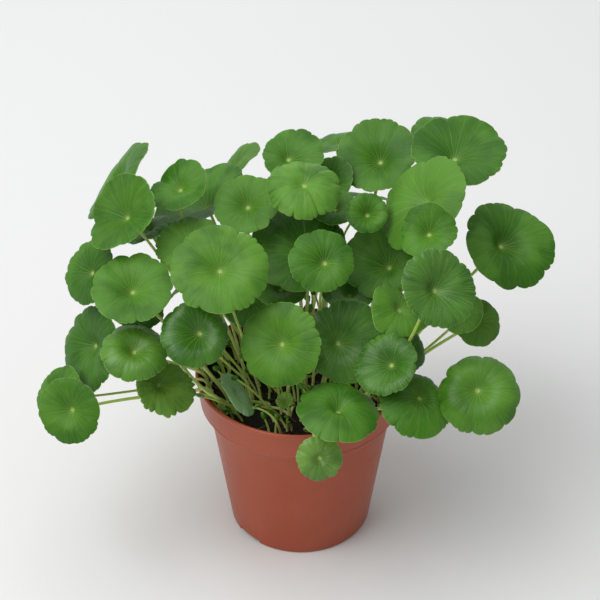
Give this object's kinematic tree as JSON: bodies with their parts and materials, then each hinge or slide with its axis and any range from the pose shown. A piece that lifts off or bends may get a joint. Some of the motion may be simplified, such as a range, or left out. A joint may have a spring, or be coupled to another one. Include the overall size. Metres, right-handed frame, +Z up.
{
  "type": "potted pennywort",
  "caption": "House plant with round, scalloped peltate leaves on slender petioles, in a tapered round plastic nursery pot filled with dark potting mix.",
  "frame": {"origin": "middle of the pot's flat foot, on the surface it stands on", "axes": "+Z up along the pot's axis, +Y away from the front, +X to the right seen from the front"},
  "size_m": [0.2876, 0.2205, 0.2329],
  "materials": {
    "pot_plastic": "satin moulded terracotta-coloured plastic",
    "potting_mix": "moist dark peat mix",
    "leaf": "waxy living leaf, semi-gloss"
  },
  "bodies": {
    "root": {"pot": "pot_plastic", "soil": "potting_mix", "leaf_01": "leaf", "leaf_02": "leaf", "leaf_03": "leaf", "leaf_04": "leaf", "leaf_05": "leaf", "leaf_06": "leaf", "leaf_07": "leaf", "leaf_08": "leaf", "leaf_09": "leaf", "leaf_10": "leaf", "leaf_11": "leaf", "leaf_12": "leaf", "leaf_13": "leaf", "leaf_14": "leaf", "leaf_15": "leaf", "leaf_16": "leaf", "leaf_17": "leaf", "leaf_18": "leaf", "leaf_19": "leaf", "leaf_20": "leaf", "leaf_21": "leaf", "leaf_22": "leaf", "leaf_23": "leaf", "leaf_24": "leaf", "leaf_25": "leaf", "leaf_26": "leaf", "leaf_27": "leaf", "leaf_28": "leaf", "leaf_29": "leaf", "leaf_30": "leaf", "leaf_31": "leaf", "leaf_32": "leaf", "leaf_33": "leaf", "leaf_34": "leaf", "leaf_35": "leaf", "leaf_36": "leaf", "leaf_37": "leaf", "leaf_38": "leaf", "leaf_39": "leaf", "leaf_40": "leaf", "leaf_41": "leaf", "leaf_42": "leaf", "leaf_43": "leaf", "leaf_44": "leaf", "leaf_45": "leaf", "leaf_46": "leaf", "leaf_47": "leaf", "leaf_48": "leaf", "leaf_49": "leaf", "leaf_50": "leaf", "leaf_51": "leaf", "leaf_52": "leaf", "leaf_53": "leaf", "leaf_54": "leaf", "leaf_55": "leaf", "leaf_56": "leaf", "leaf_57": "leaf", "leaf_58": "leaf"}
  },
  "joints": []
}
